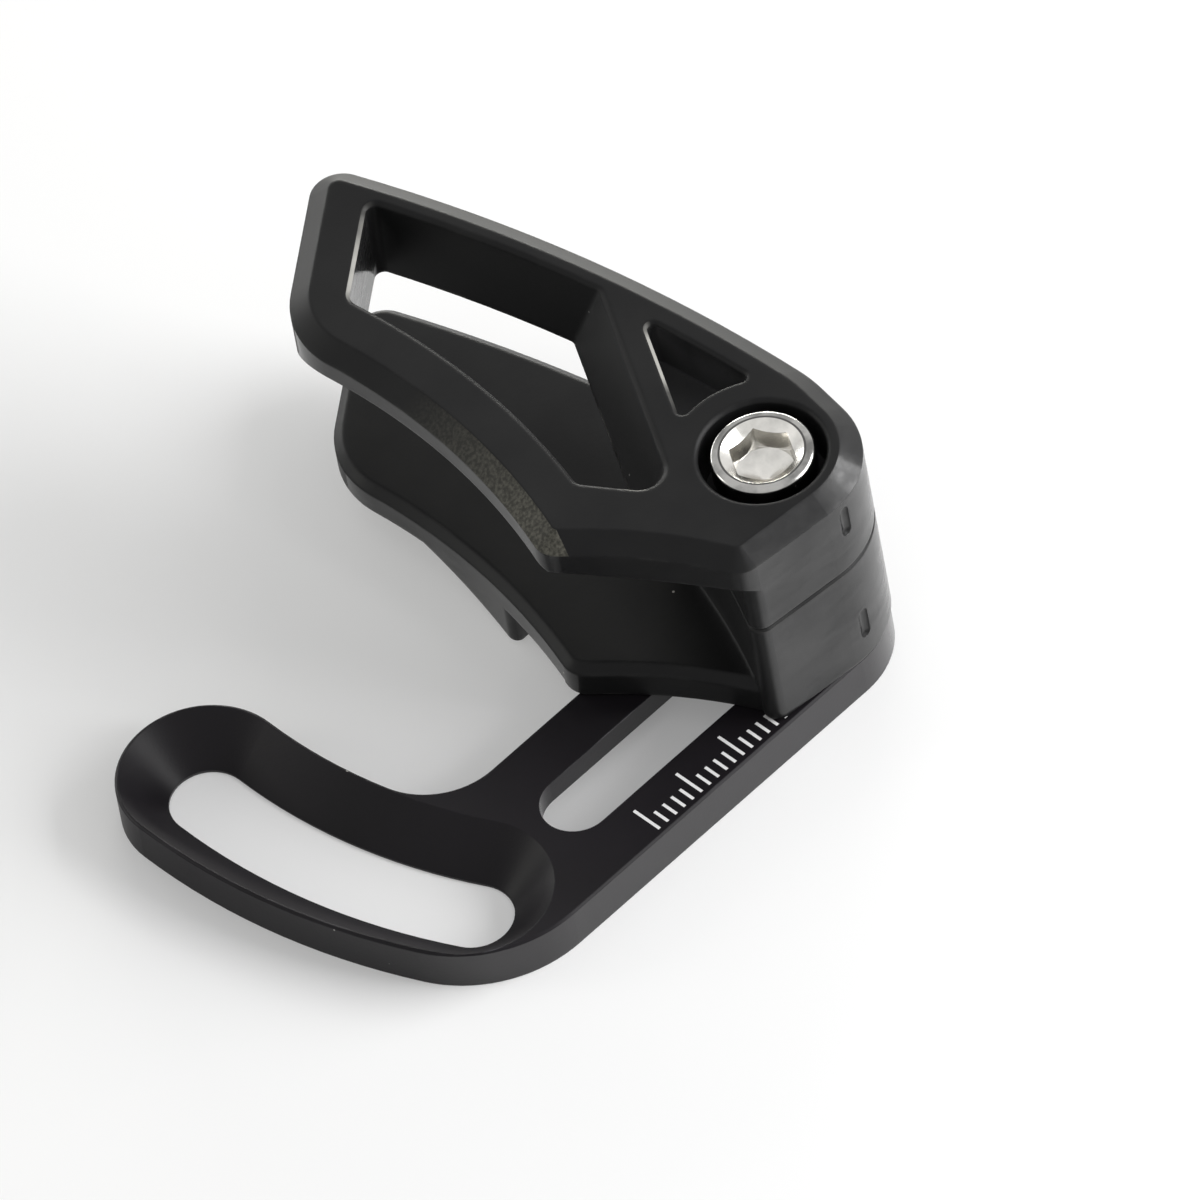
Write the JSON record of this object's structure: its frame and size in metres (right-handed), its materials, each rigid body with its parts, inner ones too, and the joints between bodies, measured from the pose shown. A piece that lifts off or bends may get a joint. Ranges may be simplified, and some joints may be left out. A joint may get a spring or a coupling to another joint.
{
  "type": "bicycle chain guide",
  "caption": "Bicycle chain guide: flat plate with a countersunk curved mounting slot and a straight slot, along which a two-piece moulded chain cage slides and is clamped.",
  "frame": {"origin": "middle of the curved mounting slot's centreline, on the plate's back face", "axes": "+Z out of the plate's front face, away from the bicycle's frame; +X along the straight slot towards the cage; +Y towards the cage's tip"},
  "size_m": [0.059, 0.0581, 0.0251],
  "materials": {
    "black_anodised": "satin",
    "black_nylon": "textured",
    "stainless": "polished"
  },
  "bodies": {
    "plate": {"mounting_plate": "black_anodised"},
    "cage": {"inner_cage": "black_nylon", "outer_cage": "black_nylon", "clamp_bolt": "stainless", "clamp_nut": "stainless"}
  },
  "joints": [
    {"name": "cage_slide", "type": "slide", "parent": "plate", "child": "cage", "axis": [-1, 0, 0], "range_m": [0, 0.019]}
  ]
}
